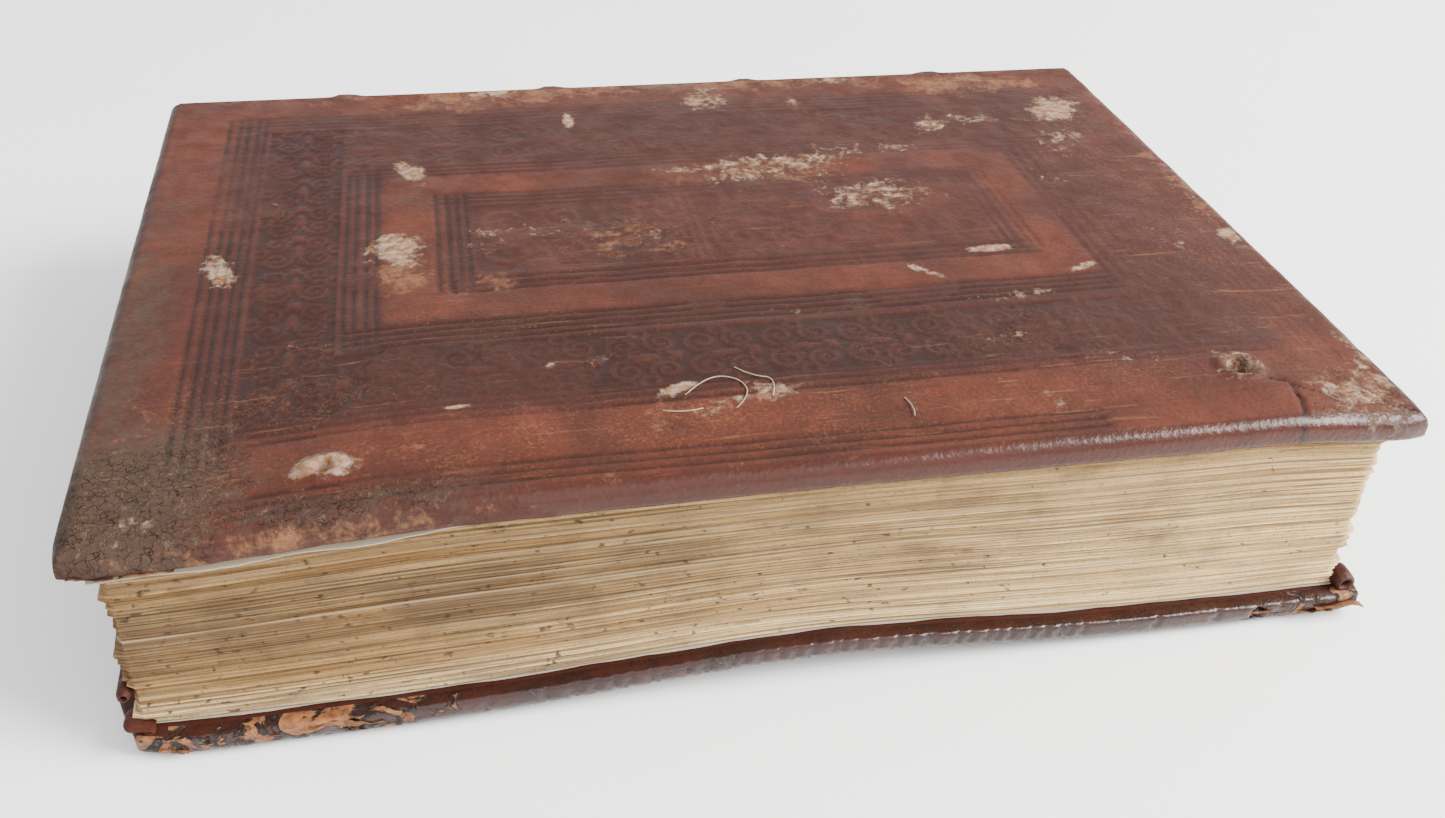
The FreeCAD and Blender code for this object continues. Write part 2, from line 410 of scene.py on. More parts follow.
def leafEdges():
    # the cut edges of hundreds of leaves: fine lines along the book, brown stains, a grey-brown cloud of dirt, and a
    # ramp paler to the right that is partly painted light
    s = Shader("leafEdges", 0.85, "flatPlace")
    broad = s.noise(60, 4, (1, 1, 40))
    lines = s.noise(64, 6, (1, 1, 150), rough=0.6)
    thin = s.noise(36, 5, (1, 1, 165), rough=0.6)
    x, _, z = s.add("ShaderNodeSeparateXYZ", {0: s.coords}).outputs
    s.color = s.mix(s.span(broad, 0.35, 0.65), (0.215, 0.115, 0.036), (0.345, 0.205, 0.076))
    right = s.span(x, -0.075, 0.085)          # the leaves are paler towards the right end: partly their own colour, partly painted light from the lamp on the right
    s.paint(s.times(right, 0.72), (0.70, 0.50, 0.24))

    # the stripes' colours follow the same ramp, paler to the right partly as painted light
    def stripe(mask, leftColor, rightColor):
        s.paint(mask, s.mix(right, leftColor, rightColor))

    stripe(s.span(lines, 0.33, 0.47, 0.8, 0.0), (0.085, 0.044, 0.016), (0.25, 0.16, 0.075))
    stripe(s.span(lines, 0.55, 0.63, 0.0, 0.75), (0.46, 0.32, 0.145), (0.75, 0.59, 0.33))
    stripe(s.span(thin, 0.35, 0.46, 0.65, 0.0), (0.085, 0.046, 0.018), (0.20, 0.125, 0.06))
    outer = s.span(s.maths("ABSOLUTE", s.maths("SUBTRACT", z, midZ * mm)), 0.0105, 0.0145)
    s.paint(s.times(outer, s.span(lines, 0.42, 0.56, 0.1, 0.7)), (0.68, 0.52, 0.28))
    inner = s.span(s.maths("ABSOLUTE", s.maths("SUBTRACT", z, midZ * mm + 0.001)), 0.003, 0.0125, 1.0, 0.0)
    left = s.span(x, -0.11, 0.085, 1.0, 0.25)
    dirt = s.plus(s.noise(14, 8, (1, 1, 1.5), 0.3, 0.62), s.times(s.times(inner, left), 0.3))
    s.paint(s.span(dirt, 0.46, 0.9, 0, 0.74), (0.100, 0.060, 0.030))
    rust = s.plus(s.noise(7, 5, (1, 1, 3)), s.times(left, 0.06))
    s.paint(s.span(rust, 0.66, 0.78, 0, 0.6), (0.16, 0.075, 0.03))
    speck = s.plus(s.noise(1.7, 4, (1, 1, 1.6)), s.times(left, 0.08))
    s.paint(s.span(speck, 0.68, 0.75, 0, 0.85), (0.05, 0.028, 0.016))
    s.paint(s.span(s.noise(0.5, 4), 0.5, 0.75, 0, 0.45), (0.10, 0.06, 0.03))
    s.bump(lines, 0.5, 0.9)
    s.bump(thin, 0.3, 0.8)
    s.bump(s.noise(0.6, 3), 0.08, 0.5)
    return s.done()


def ragPaper(name, light, dark):
    # handmade paper, foxed and darker towards its edges, with the mould's fine lines
    s = Shader(name, 0.9)
    cloud = s.noise(60, 7, distort=0.4, rough=0.6)
    place = s.add("ShaderNodeSeparateXYZ", {0: s.coords}).outputs
    nearEnd = s.span(s.maths("ABSOLUTE", place[0]), 0.070, 0.100)
    nearFore = s.span(place[1], -0.045, -0.074)
    browned = s.plus(s.maths("MAXIMUM", nearEnd, nearFore), s.swing(cloud, 1.5))
    s.color = s.mix(s.span(browned, 0.0, 1.3), light, dark)
    s.paint(s.span(s.noise(5, 4), 0.68, 0.8, 0, 0.6), (0.42, 0.24, 0.10))
    s.paint(s.span(s.noise(0.5, 3), 0.4, 0.8, 0, 0.18), dark)
    s.bump(s.noise(14, 1, (0.04, 12, 1)), 0.05, 0.6)
    s.bump(s.noise(9, 3), 0.8, 0.6)
    return s.done()


def plainFibre(name, light, dark, size, stretch=(1, 1, 1)):
    # thread, cord, cloth or wood, told apart by the size and stretch of its grain
    s = Shader(name, 0.9)
    grain = s.noise(size, 5, stretch)
    s.color = s.mix(s.span(grain, 0.3, 0.7), dark, light)
    s.paint(s.span(s.noise(size * 9, 3), 0.4, 0.7, 0, 0.5), dark)
    s.bump(grain, 0.15)
    return s.done()


def stripedSilk():
    # an endband's tight wraps, in turns of two faded colours
    s = Shader("endbandSilk", 0.7)
    turns, pairs = (
        s.add("ShaderNodeTexWave", {"Vector": s.coords, "Scale": scale, "Distortion": wander}, bands_direction="Z")
        .outputs["Fac"] for scale, wander in ((180.0, 0.5), (45.0, 0.2)))
    s.color = s.mix(s.span(pairs, 0.45, 0.55), (0.30, 0.23, 0.13), (0.055, 0.075, 0.10))
    s.paint(s.span(s.noise(1.2, 4), 0.45, 0.7, 0, 0.6), (0.14, 0.10, 0.06))
    s.bump(turns, 0.3, 0.9)
    return s.done()


leather = coverLeather("wornCalf", 0.16, 0.42, 0.62)
polished = coverLeather("polishedCalf", 0.22, 0.20, 0.34)       # rims rubbed smooth by hands
frayed = coverLeather("frayedCalf", 0.34, 0.18, 0.36, True)      # the lower rim, glossy and torn by turns
leafEdge = leafEdges()
leafPaper = ragPaper("leafPaper", (0.44, 0.33, 0.195), (0.31, 0.21, 0.11))
endPaper = ragPaper("endPaper", (0.46, 0.395, 0.30), (0.31, 0.25, 0.18))
beech = plainFibre("beechBoard", (0.20, 0.105, 0.05), (0.10, 0.048, 0.023), 1.2, (0.06, 1, 1))
hemp = plainFibre("hempCord", (0.26, 0.19, 0.105), (0.13, 0.085, 0.042), 0.5, (0.3, 1, 1))
linen = plainFibre("linenCloth", (0.27, 0.215, 0.14), (0.16, 0.12, 0.075), 0.6)
linenThread = plainFibre("linenThread", (0.34, 0.28, 0.19), (0.22, 0.17, 0.11), 0.3)
silk = stripedSilk()
print("materials made")


# the tooled decoration of a cover: places in millimetres from its left end and its fore-edge

uprightFillets = (          # places along the height, start and end from the fore-edge, strength
    ((13.3, 15.3, 17.0, 18.9, 20.4), 14, 136, 1.0), ((37.2, 38.8, 40.8, 42.4), 42, 107, 1.0),
    ((53.0, 55.0, 56.7, 58.3), 58, 96, 0.95), ((97.6, 99.4), 64, 91, 0.45),
    ((156.0, 157.8, 160.0, 161.6), 60, 95, 0.7), ((169.5, 171.5, 174.0, 176.4), 46, 106, 0.6),
    ((191.5, 193.4, 195.4, 197.2), 18, 134, 0.25))
levelFillets = (            # places from the fore-edge, start and end along the height, strength, rise to the right
    ((3.6, 5.6, 7.6), 20, 150, 0.95, 0.3), ((19.8,), 20, 186, 1.0, 0.8), ((21.8, 23.6), 20, 186, 0.7, 0.8),
    ((41.8, 43.6, 45.5, 47.4), 37, 170, 1.0, 2.4), ((57.8, 59.6, 61.8), 54, 161, 0.85, 1.6),
    ((91.6, 93.4, 95.2), 54, 161, 0.6, 0.5), ((104.4, 106.2, 108.0), 37, 176, 0.6, 0.5),
    ((130.0, 131.8, 133.6, 135.4), 13, 196, 0.35, 0.0))
rollBands = (               # left, right, near and far limits, direction along the roll, strength
    (21.6, 36.2, 24.5, 128.5, 1, 1.0), (36.2, 177.5, 24.8, 40.6, 0, 1.0),
    (36.2, 177.5, 109.0, 128.5, 0, 0.55), (177.5, 190.5, 24.8, 128.5, 1, 0.35))
panels = ((59.5, 96.5, 64.0, 90.5), (100.5, 155.0, 64.0, 90.5))
filletHalf = 0.52           # half the width of one pressed line
panelScale = 1.9            # how much larger the panels' ornament is than a roll 14 mm wide
rollHalf = 7.0


def ring(p, q, cx, cy, radius, width):
    # how near a place is to a ring's line, from 0 to 1
    away = np.abs(np.hypot(p - cx, q - cy) - radius)
    return unit(1 - away / width)


def curl(p, q, cx, cy, size, turn, hand, width):
    # a spiral tendril about a centre: its line's nearness, from 0 to 1
    dx, dy = (p - cx) * hand, q - cy
    radius = np.hypot(dx, dy) / size
    angle = (np.arctan2(dy, dx) - turn) / (2 * math.pi)
    phase = (radius * 1.75 - angle) % 1
    line = unit(1 - np.minimum(phase, 1 - phase) * size / 1.75 / width)
    return line * (radius < 1.0) * (radius > 0.12)


def foliage(s, t, half):
    # the roll's raised ornament: paired scrolls and small palmettes, repeated along it
    period = 1.62 * half
    p = (s % period) - period / 2
    k = half / 7.3
    q = np.abs(t)
    out = curl(p, q, -2.6 * k, 3.4 * k, 2.9 * k, 0.6, 1, 0.5 * k)
    out = np.maximum(out, curl(p, q, 3.1 * k, 3.7 * k, 2.5 * k, 2.4, -1, 0.5 * k))
    out = np.maximum(out, ring(p, q, 0.2 * k, 6.4 * k, 1.2 * k, 0.55 * k))
    petal = np.clip(1.25 - np.hypot((p - 0.3 * k) / (2.3 * k), t / (0.85 * k)), 0, 0.6) * 1.6
    out = np.maximum(out, petal)
    for lean in (-1, 1):
        u, v = (p - 5.0 * k) * 0.7, t * 0.7
        leaf = np.hypot((u + lean * v) / (1.9 * k), (v - lean * u) / (0.7 * k))
        out = np.maximum(out, np.clip(1.3 - leaf, 0, 0.7) * 1.3)
    return unit(out)


def tooled(a, b):
    # the pressed depth at each place, from 0 to 1
    wobble = latticeNoise(np.c_[a, b], 30, 5) * 0.25
    depth = np.zeros(len(a))
    upright = [(*row, 0.0, a, b) for row in uprightFillets]
    level = [(*row, b, a) for row in levelFillets]
    for lines, start, end, strength, rise, over, along in upright + level:
        inside = ease(along, start - 1, start + 1) * ease(-along, -end - 1, -end + 1)
        for line in lines:
            at = line + rise * (along - start) / 140
            pressed = unit(1.35 - np.abs(over + wobble - at) / filletHalf)
            depth = np.maximum(depth, pressed * inside * strength)
    ground = np.zeros(len(a))
    for left, right, near, far, upright, strength in rollBands:
        inside = (a > left) & (a < right) & (b > near) & (b < far)
        s, t = (b, a - (left + right) / 2) if upright else (a, b - (near + far) / 2)
        half = ((right - left) if upright else (far - near)) / 2
        ground = np.where(inside, strength * 0.85 * (1 - foliage(s, t, half)), ground)
    for left, right, near, far in panels:
        inside = (a > left) & (a < right) & (b > near) & (b < far)
        s, t = (a - left) / panelScale, (b - (near + far) / 2) / panelScale
        ground = np.where(inside, 0.5 * (1 - foliage(s, t, rollHalf)), ground)
    return np.maximum(depth, ground)


def inTooled(a, b):
    # true where the cover's mesh has to be fine
    inRoll = any(l - 1 < a < r + 1 and n - 1 < b < f + 1 for l, r, n, f, _, strength in rollBands)
    inPanel = any(l < a < r and n < b < f for l, r, n, f in panels)
    inUpright = any(min(g[0]) - 1.2 < a < max(g[0]) + 1.2 and g[1] - 1 < b < g[2] + 1 for g in uprightFillets)
    inLevel = any(min(g[0]) - 1.2 < b < max(g[0]) + 1.2 + g[4] and g[1] - 1 < a < g[2] + 1 for g in levelFillets)
    inScar = any(math.hypot(a - scar[0], b - scar[1]) < 6 for scar in claspScars) or (a > 176 and b < 15)
    return inRoll or inPanel or inUpright or inLevel or inScar


def plumTone(a, b):
    # the darkened bands round the tooling
    def frameBand(left, right, near, far, soft=3.0):
        return ease(a, left - soft, left + soft) * ease(-a, -right - soft, -right + soft) \
            * ease(b, near - soft, near + soft) * ease(-b, -far - soft, -far + soft)

    tone = (frameBand(14, 190, 21, 137) - frameBand(44, 168, 50, 103)) * (1 - 0.3 * ease(b, 42, 60))
    tone = np.maximum(tone, 0.75 * frameBand(54, 160, 58, 96, 1.5) - 0.25 * frameBand(60, 154, 65, 89))
    tone = np.maximum(tone, 0.75 * frameBand(20, 200, 106, 136, 6))
    tone = np.maximum(tone, 0.55 * ease(a, 165, 185) * ease(-b, -134, -120) * ease(b, 14, 30))
    return unit(tone)


def marks(a, b, spots):
    # soft spots: place, half sizes, turn in degrees and strength
    total = np.zeros(len(a))
    for x, y, rx, ry, turn, strength in spots:
        c, s = math.cos(math.radians(turn)), math.sin(math.radians(turn))
        p, q = ((a - x) * c + (b - y) * s) / rx, (-(a - x) * s + (b - y) * c) / ry
        total = np.maximum(total, strength * unit(1.25 - 0.62 * np.hypot(p, q)))
    return total


claspScars = ((35.0, 12.0, 0.9), (177.5, 16.0, 1.9))          # place and radius of the torn nail holes
cracks = (((180.5, 13.0), (183.0, 10.5), (187.0, 8.6), (192.0, 4.6), (197.0, 4.2), (203.0, 2.0)),
          ((183.2, 10.4), (182.6, 5.0), (180.0, -1.0)))


def nearLine(a, b, points):
    # distance to a line through several places
    best = np.full(len(a), 1e3)
    for (x0, y0), (x1, y1) in zip(points[:-1], points[1:]):
        dx, dy = x1 - x0, y1 - y0
        t = unit(((a - x0) * dx + (b - y0) * dy) / (dx * dx + dy * dy))
        best = np.minimum(best, np.hypot(a - x0 - t * dx, b - y0 - t * dy))
    return best


upperWear = {
    "pale": ((49, 106, 2.6, 5, 20, 0.9), (45.5, 76, 5.2, 5.2, 0, 0.85), (47, 70, 3, 4, 40, 0.7),
             (16.2, 72.5, 2.6, 6.5, 15, 0.85), (82, 128.5, 1.1, 4, 0, 1.0), (35.2, 12, 4, 2.6, 0, 1.0),
             (87, 23, 4.5, 1.3, 20, 0.9), (92, 17, 4.5, 2.2, 40, 0.62), (152, 61, 4, 1.3, 3, 1.0),
             (166, 52.3, 3.6, 1.2, 15, 0.9), (137, 54.5, 4.2, 1.3, -50, 0.85), (120, 103, 30, 3.5, 4, 0.62),
             (136, 108, 26, 3, -3, 0.5), (70, 79, 14, 6, 10, 0.46), (168, 120, 12, 3, -8, 0.6),
             (176, 88, 7, 12, 20, 0.42), (187, 60, 5, 12, 0, 0.45), (150, 44, 14, 2.4, 3, 0.5),
             (108, 44, 12, 2, 2, 0.46), (74, 33, 12, 2, 3, 0.45), (160, 22, 12, 3, 0, 0.48),
             (100, 20, 7, 4, 10, 0.62), (120, 101, 17, 7, 0, 0.6), (112, 98, 10, 5, 40, 0.62),
             (137, 86, 14, 8, 0, 0.62), (127, 95, 12, 5, -30, 0.5), (88, 74, 14, 9, 0, 0.42), (62, 76, 6, 7, 0, 0.5),
             (113, 137, 7, 7, 0, 0.66), (68, 146, 8, 3.2, 0, 0.72), (189, 122, 6, 9, -30, 0.8),
             (184, 108, 7, 14, 0, 0.55), (159, 118, 4, 7, -20, 0.62), (199, 75, 3, 24, 0, 0.5),
             (178, 16, 5.2, 4.6, 0, 0.62), (195, 7, 9, 8, -30, 0.66), (201, 14, 3, 12, 0, 0.6),
             (189, 3, 8, 2, 0, 0.6), (144, 12, 1.5, 5, 10, 0.6), (142, 31, 12, 3, 0, 0.42), (54, 23, 2, 0.7, 5, 0.8),
             (31, 45, 5, 2.5, 0, 0.5), (26, 92, 5, 12, 10, 0.40), (9, 5, 9, 4, 0, 0.5), (132, 132, 2.2, 5, 0, 0.6),
             (200, 62, 2, 3, 0, 0.9), (144, 145, 6, 3.5, 0, 0.62)),
    "tan": ((100, 147, 95, 7, 0, 0.62), (60, 141, 26, 6, 0, 0.6), (172, 140, 24, 7, -6, 0.62),
            (86, 16, 14, 5, 0, 0.52), (40, 13, 18, 4, 0, 0.42), (30, -1, 34, 2.2, 0, 0.62), (8, 28, 6, 10, 0, 0.45),
            (120, 98, 26, 10, 0, 0.45), (88, 73, 18, 10, 0, 0.48), (58, 60, 12, 6, 0, 0.45), (195, 12, 9, 9, 0, 0.4),
            (47, 65, 5, 7, 0, 0.6), (201, 80, 4, 60, 0, 0.5), (100, 2, 100, 2, 0, 0.35)),
    "grime": ((8, 12, 16, 18, 0, 0.85), (3, 50, 8, 60, 0, 0.6), (35, 3, 34, 4, 0, 0.6), (122, 45, 3, 4, 30, 0.55),
              (190, 118, 14, 18, 0, 0.45), (114, 136, 9, 9, 0, 0.4), (158, 33, 10, 5, 0, 0.4), (70, 80, 8, 5, 0, 0.4),
              (48, 96, 5, 8, -35, 0.5)),
    "crack": ((8, 10, 18, 14, 0, 0.9), (192, 6, 10, 10, 0, 0.6), (100, 12, 100, 10, 0, 0.35), (30, 4, 30, 5, 0, 0.7)),
    "rub": ((100, 14, 100, 9, 0, 0.9), (30, 30, 22, 12, 0, 0.8), (140, 30, 30, 9, 0, 0.7), (60, 42, 30, 14, 0, 0.6),
            (190, 70, 16, 60, 0, 0.8), (100, 72, 60, 20, 0, 0.5))}


# cover leather

pinPlaces = (-67.0, 82.0)      # the holes of the lost clasps' pins, in the lower cover's fore-edge
pinDrop = 2.7
leatherSizes = {
    "step": 1.53, "fineCuts": 2, "cornerFan": 4.5, "rimRadius": 2.6, "lipRadius": 0.6, "turnIn": 16.0, "dip": 0.6,
    "fineRim": 1.6, "lineDepth": 0.3, "scarLip": 0.5, "scarPit": 1.7, "split": 0.42, "crease": 0.42,
    "creaseHalf": 0.55, "pinHole": 1.8, "fray": 0.3, "swell": 0.22, "grain": 0.05, "rimSwell": 0.096, "tableGap": 0.02}
patternWidth = 148.0        # the tooling's and the wear's places are for a cover of this width
jointHalf = 1.6             # how far the strips over the joint reach each way


def rimRings(sizes):
    # the section over the board's edge, as (distance past the flat, drop below it)
    r, lip, depth = sizes["rimRadius"], sizes["lipRadius"], coverDepth
    over = [(r * math.sin(t), r - r * math.cos(t)) for t in np.radians([12, 28, 45, 62, 78, 90])]
    side = [(r, r + 0.9), (r, depth - lip)]
    under = [(r - lip + lip * math.cos(t), depth - lip + lip * math.sin(t)) for t in np.radians([45, 90])]
    return over + side + under


def wrapCover(name, sizes):
    # one skin from the joint, over the board's face and edges and in over its inner side
    r = sizes["rimRadius"]
    x1, y0, y1 = halfHeight - r, foreY + r, jointY - jointHalf
    across, deep = round(2 * x1 / sizes["step"]), round((y1 - y0) / sizes["step"])
    skin = addMesh(name, bpy.ops.mesh.primitive_grid_add, (2 * x1 * mm, (y1 - y0) * mm, 1),
                   x_subdivisions=across, y_subdivisions=deep, size=1, location=(0, (y0 + y1) / 2 * mm, 0))
    mesh = editMesh(skin)

    def fine(face):
        middle = face.calc_center_median() / mm
        a, b = middle.x + halfHeight, (middle.y - foreY) * patternWidth / coverWidth
        return inTooled(a, b) or b < r + sizes["fineRim"]

    pick(skin, mesh, mesh.faces, fine)
    bpy.ops.mesh.subdivide(number_cuts=sizes["fineCuts"])
    bpy.ops.mesh.select_all(action="DESELECT")
    bpy.ops.mesh.select_mode(type="EDGE")
    mesh = bmesh.from_edit_mesh(skin.data)
    pick(skin, mesh, mesh.edges, lambda e: e.is_boundary and min(v.co.y for v in e.verts) < (y1 - 0.01) * mm)
    rings = rimRings(sizes)
    inner = halfHeight - sizes["turnIn"]
    insets = (1.0, 0.975, 0.95, 0.92, 0.89, inner / x1, (inner - 0.05) / x1)
    count = len(rings) + len(insets)
    flat = len(mesh.verts)
    for number in range(count):
        bpy.ops.mesh.extrude_edges_move(TRANSFORM_OT_translate={"value": (0, 0, -0.05 * mm)})
    leaveEdit()
    co = places(skin)
    ringSize = (len(co) - flat) // count
    first = co[flat:flat + ringSize].copy()
    co[:flat, 2] = 0
    outX = np.sign(first[:, 0]) * (np.abs(first[:, 0]) > x1 - 0.01)
    outY = -1.0 * (first[:, 1] < y0 + 0.01)
    toSide = unit(1 - (x1 - np.abs(first[:, 0])) / sizes["cornerFan"])
    toFore = unit(1 - (first[:, 1] - y0) / sizes["cornerFan"])
    angle = np.where(outY < 0, 45 * toSide, 90 - 45 * toFore)
    angle = np.where((outY < 0) & (outX != 0), 45, angle)
    wayX = np.sin(np.radians(angle)) * np.where(np.abs(outX) > 0, outX, np.sign(first[:, 0]))
    wayY = -np.cos(np.radians(angle))
    for number in range(count):
        part = slice(flat + number * ringSize, flat + (number + 1) * ringSize)
        if number < len(rings):
            out, drop = rings[number]
            co[part, 0] = first[:, 0] + wayX * out
            co[part, 1] = first[:, 1] + wayY * out
            co[part, 2] = -drop
        else:
            k = insets[number - len(rings)]
            co[part, 0] = first[:, 0] * k
            co[part, 1] = y1 - (y1 - first[:, 1]) * (1 - (1 - k) * x1 / (y1 - y0))
            co[part, 2] = -coverDepth + (sizes["dip"] if number == count - 1 else 0)
    a, b = co[:, 0] + halfHeight, (co[:, 1] - foreY) * patternWidth / coverWidth
    onFace = np.zeros(len(co), bool)
    onFace[:flat] = True
    return skin, co, onFace, a, b


fadedSpots = ((122, 99, 30, 14, 0, 1), (150, 85, 18, 14, 0, 1), (185, 100, 22, 60, 0, 0.9), (100, 144, 100, 8, 0, 1))
creaseSpots = (-88, -74, -60, -47, 63, 74, 86)


def coverFinish(skin, co, onFace, a, b, flip, wear, sizes):
    # the tooling, the scars and all wear, then the turn to the lower side where it is flipped
    flatPlace, section = np.c_[a, b], np.c_[co[:, 0], co[:, 2]]
    foreEdge = (b < 3) & (co[:, 2] > -coverDepth + 0.05)
    pits = np.zeros(len(a))
    torn = np.zeros(len(a))
    depth = np.where(onFace, tooled(a, b), 0)
    depth = depth * unit(1 - 0.75 * marks(a, b, fadedSpots)) * (1 - 0.45 * (rough(flatPlace, 16, 31) > 0.25))
    if not flip:
        jitter = 0.5 * rough(flatPlace, 3, 19)
        for line in cracks:
            split = unit(1.2 - nearLine(a + jitter, b + jitter, line) / sizes["split"])
            depth = np.maximum(depth, split * 1.3)
        for x, y, radius in claspScars:
            away = np.hypot(a - x, b - y)
            pits = np.maximum(pits, ease(-away, -radius - 0.5, -radius + 0.4))
            co[:, 2] += sizes["scarLip"] * np.exp(-((away - radius - 1.4) / 0.9) ** 2) * onFace
        co[:, 2] -= sizes["scarPit"] * pits * onFace
    else:
        dice = np.random.default_rng(12)
        spots = np.concatenate([np.arange(-38, 52, 2.6) + dice.uniform(-0.9, 0.9, 35), creaseSpots])
        away = np.min([np.abs(co[:, 0] + 0.5 * np.sin(co[:, 2] * 2) - spot) for spot in spots], axis=0)
        fold = unit(1 - away / sizes["creaseHalf"]) * foreEdge
        co[:, 1] += sizes["crease"] * fold
        depth = np.maximum(depth, 0.8 * fold)
        torn = (ease(-co[:, 0], 44, 66) + 0.85 * ease(co[:, 0], 70, 84)) * (0.75 + 0.35 * rough(section, 8, 33))
        co[:, 1] += sizes["fray"] * rough(section * (1, 3), 5, 35) * torn * foreEdge
        for x in pinPlaces:
            away = np.hypot(co[:, 0] - x, co[:, 2] + pinDrop)
            hole = ease(-away, -1.6, -0.8) * (b < 3)
            co[:, 1] += sizes["pinHole"] * hole
            pits = np.maximum(pits, hole)
    depth = np.maximum(depth, pits * 1.3)
    co[:, 2] -= np.where(onFace, depth, 0) * sizes["lineDepth"]
    co[:, 2] += sizes["swell"] * rough(flatPlace, 24, 41) * onFace * ease(patternWidth - b, 0, 6)
    co[:, 2] += sizes["grain"] * rough(flatPlace, 2.4, 47, 2) * onFace
    rim = ~onFace & (co[:, 2] > -coverDepth + 0.1)
    co[:, 2] += sizes["rimSwell"] * rough(np.c_[a + b, co[:, 2] * 2], 5, 53) * rim
    layers = {name: marks(a, b, spots) * (onFace | rim) for name, spots in wear.items()}
    store(skin, **layers, torn=torn, tooling=depth, tone=np.where(onFace, plumTone(a, b), 1.0 if flip else 0.75))
    if flip:
        co[:, 2] = np.maximum(-co[:, 2], sizes["tableGap"])
    else:
        co[:, 2] += topZ
    setPlaces(skin, bend(co))
    outward(skin)
    setMaterials(skin, leather, frayed if flip else polished)
    for face in skin.data.polygons:
        x, y, z = face.center / mm
        shiny = y < foreY + 0.75 * sizes["rimRadius"] and (flip or x > -38 + 3 * math.sin(z))
        face.material_index = int(shiny)
    smooth(skin, 60)


# the lower cover's outer side lies on the table, so its wear is a guess
lowerWear = {
    "pale": ((30, 70, 10, 20, 20, 0.42), (150, 40, 20, 9, 10, 0.45), (100, 140, 30, 4, 0, 0.6),
             (185, 10, 8, 6, 0, 0.5)),
    "tan": ((100, 147, 95, 7, 0, 0.62), (12, 12, 14, 12, 0, 0.5), (190, 12, 12, 12, 0, 0.55),
            (100, 75, 50, 20, 0, 0.42)),
    "grime": ((100, 100, 60, 30, 0, 0.45), (60, 30, 30, 12, 0, 0.4)),
    "crack": ((12, 12, 14, 14, 0, 0.6), (190, 12, 12, 12, 0, 0.6), (100, 4, 100, 5, 0, 0.5)),
    "rub": ((100, 75, 90, 60, 0, 0.8),)}

for side, flip, wear in (("upper", False, upperWear), ("lower", True, lowerWear)):
    skin, *faces = wrapCover(side + "CoverLeather", leatherSizes)
    coverFinish(skin, *faces, flip, wear, leatherSizes)
    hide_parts(side + "_cover_leather")
    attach(skin, side + "_cover")
    print(side, "cover leather", len(skin.data.vertices), "places")


# scraps of leather, rolled ends and fibres that stand off the worn edges

scraps = (                  # body, place along and above the table, length, height, how far it curls out, tan strength
    ("lower_cover", -85, 2.3, 15, 2.6, 0.5, 1.2), ("lower_cover", -68, 2.9, 11, 2.2, 0.7, 1.2),
    ("lower_cover", -94, 1.5, 6, 1.8, 0.8, 1.1), ("lower_cover", -56, 2.4, 7, 1.6, 0.5, 1.1),
    ("lower_cover", 85, 2.6, 9, 1.8, 0.7, 1.2), ("lower_cover", 97, 2.9, 9, 1.6, 1.6, 1.2),
    ("lower_cover", 93, 1.9, 7, 1.3, 0.9, 0.9), ("upper_cover", -97, topZ - 4.2, 6, 1.2, 0.7, 0.4),
    ("upper_cover", -90, topZ - 4.4, 7, 0.9, 0.5, 0.8))
rolls = (                   # body, place along the book, inset, height, radius, half length
    ("lower_half", -98.2, 2.6, 12.0, 1.1, 2.0), ("lower_cover", -98.4, 0.8, 5.6, 1.4, 2.4),
    ("lower_cover", 98.6, 1.4, 6.0, 2.0, 2.2))
ringPart, tubePart = 0.62, 0.38          # a roll's radius shared between its ring and its tube
fibres = (                  # places from the left end and the fore-edge
    ((88, 20.5), (92, 25), (97, 24), (98, 19), (95, 16)), ((97, 27), (99, 24), (103, 23), (101, 18)),
    ((84, 17), (87, 15.6), (90, 16.6)), ((121, 15), (121.8, 12.5), (121, 10)))
fibreLifts = (0.05, 0.25, 0.15, 0.28, 0.08)
fibreRadius = 0.1
scrapSizes = {"alongCuts": 30, "upCuts": 8, "out": 0.5, "thick": 0.35, "ragged": 0.4, "lowest": 0.15}


def scrap(number, body, x, z, length, height, curlOut, tan):
    # a torn flap against the fore-edge, curled outward towards its top
    piece = addCube("leatherScrap" + str(number), (0, 0, 0), (1, 1, 1))
    cutAcross(piece, 0, scrapSizes["alongCuts"])
    cutAcross(piece, 2, scrapSizes["upCuts"])
    co = places(piece)
    u, w, v = co[:, 0].copy(), co[:, 1].copy(), co[:, 2] - 0.5
    seed = 310 + number
    taper = np.sin(math.pi * np.clip(u, 0.02, 0.98)) ** 0.5 * (0.75 + 0.35 * rough(u[:, None] * length, 2.2, seed, 4))
    out = curlOut * (v + 0.5) ** 2 + 0.35 * rough(np.c_[u * length, v * height], 2.5, seed + 9, 3)
    along = x + (u - 0.5) * length
    up = z + v * height * taper + scrapSizes["ragged"] * rough(u[:, None] * length, 3.5, seed + 4)
    y = foreY + scrapSizes["out"] - out + scrapSizes["thick"] * w
    setPlaces(piece, bend(np.c_[along, y, np.maximum(up, scrapSizes["lowest"])]))
    outward(piece)
    leatherDone(piece, body, tan, np.abs(v))


def leatherDone(piece, body, tan, edge=0.0):
    store(piece, tan=tan + 0.3 * edge, pale=0.0, grime=0.2, rub=0.4, crack=0.3, tooling=0.0, tone=0.8)
    setMaterials(piece, leather)
    smooth(piece, 60)
    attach(piece, body)


